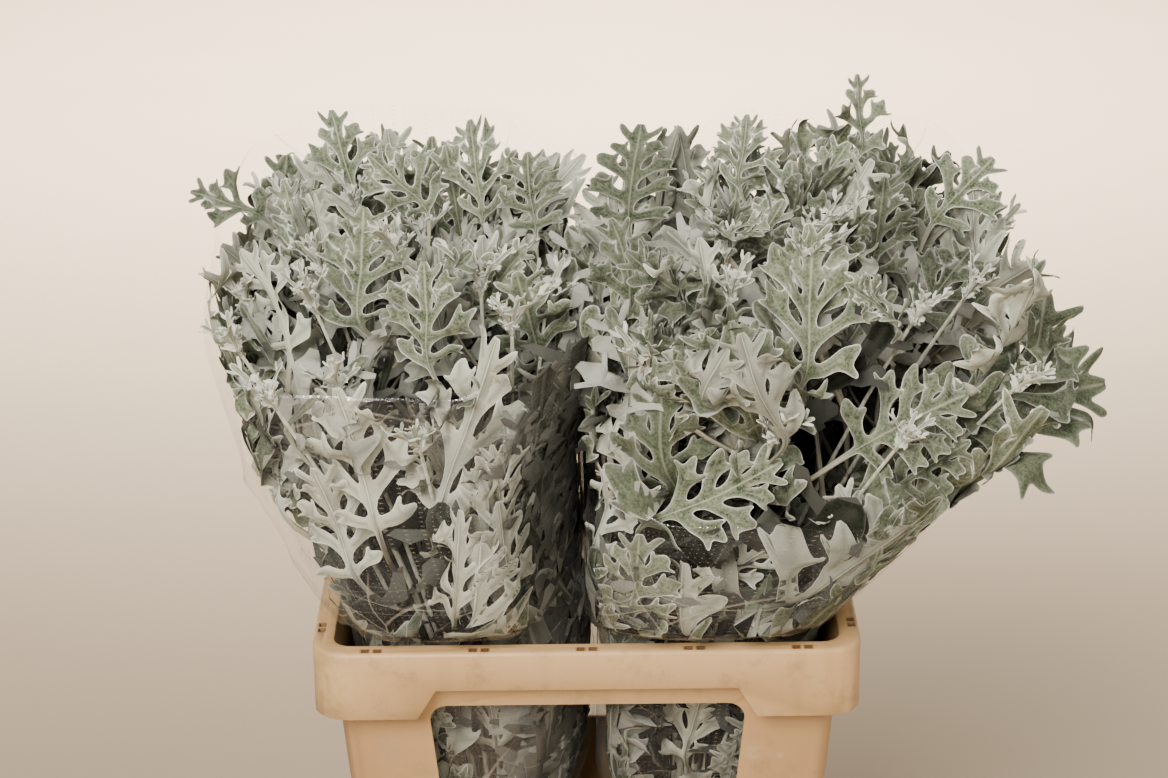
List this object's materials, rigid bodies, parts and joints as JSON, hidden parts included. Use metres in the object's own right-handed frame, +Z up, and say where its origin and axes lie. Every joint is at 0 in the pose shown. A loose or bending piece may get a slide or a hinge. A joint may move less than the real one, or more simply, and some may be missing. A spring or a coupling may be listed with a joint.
{
  "type": "dusty miller in a flower bucket",
  "caption": "Cut dusty miller foliage in clear film sleeves, standing in a tapered plastic flower bucket with a hooded rim and front and back windows.",
  "frame": {"origin": "middle of the bucket's underside, on the surface that it stands on", "axes": "+X to the right of the bucket's front, +Y from its front to its back, +Z up"},
  "size_m": [0.6837, 0.3706, 0.7544],
  "materials": {
    "bucket_plastic": "cream injection-moulded polypropylene, scuffed and lightly stained",
    "sleeve_film": "clear micro-perforated polypropylene film, creased",
    "elastic_band": "natural rubber band",
    "leaf_felt": "grey-green leaf under white felted hairs, whiter beneath and along its edges",
    "stem_felt": "pale green stem under white felted hairs"
  },
  "bodies": {
    "root": {"flower_bucket": "bucket_plastic", "bucket_floor": "bucket_plastic", "left_band": "elastic_band", "left_leaf_01": "leaf_felt", "left_leaf_02": "leaf_felt", "left_leaf_03": "leaf_felt", "left_leaf_04": "leaf_felt", "left_leaf_05": "leaf_felt", "left_leaf_06": "leaf_felt", "left_leaf_07": "leaf_felt", "left_leaf_08": "leaf_felt", "left_leaf_09": "leaf_felt", "left_leaf_10": "leaf_felt", "left_leaf_11": "leaf_felt", "left_leaf_12": "leaf_felt", "left_leaf_13": "leaf_felt", "left_leaf_14": "leaf_felt", "left_leaf_15": "leaf_felt", "left_leaf_16": "leaf_felt", "left_leaf_17": "leaf_felt", "left_leaf_18": "leaf_felt", "left_leaf_19": "leaf_felt", "left_sleeve": "sleeve_film", "left_stem_1": "stem_felt", "left_stem_2": "stem_felt", "left_stem_3": "stem_felt", "left_stem_4": "stem_felt", "left_stem_5": "stem_felt", "left_stem_6": "stem_felt", "left_stem_7": "stem_felt", "right_band": "elastic_band", "right_leaf_01": "leaf_felt", "right_leaf_02": "leaf_felt", "right_leaf_03": "leaf_felt", "right_leaf_04": "leaf_felt", "right_leaf_05": "leaf_felt", "right_leaf_06": "leaf_felt", "right_leaf_07": "leaf_felt", "right_leaf_08": "leaf_felt", "right_leaf_09": "leaf_felt", "right_leaf_10": "leaf_felt", "right_leaf_11": "leaf_felt", "right_leaf_12": "leaf_felt", "right_leaf_13": "leaf_felt", "right_leaf_14": "leaf_felt", "right_leaf_15": "leaf_felt", "right_leaf_16": "leaf_felt", "right_leaf_17": "leaf_felt", "right_leaf_18": "leaf_felt", "right_leaf_19": "leaf_felt", "right_leaf_20": "leaf_felt", "right_leaf_21": "leaf_felt", "right_sleeve": "sleeve_film", "right_stem_1": "stem_felt", "right_stem_2": "stem_felt", "right_stem_3": "stem_felt", "right_stem_4": "stem_felt", "right_stem_5": "stem_felt", "right_stem_6": "stem_felt", "right_stem_7": "stem_felt"}
  },
  "joints": []
}
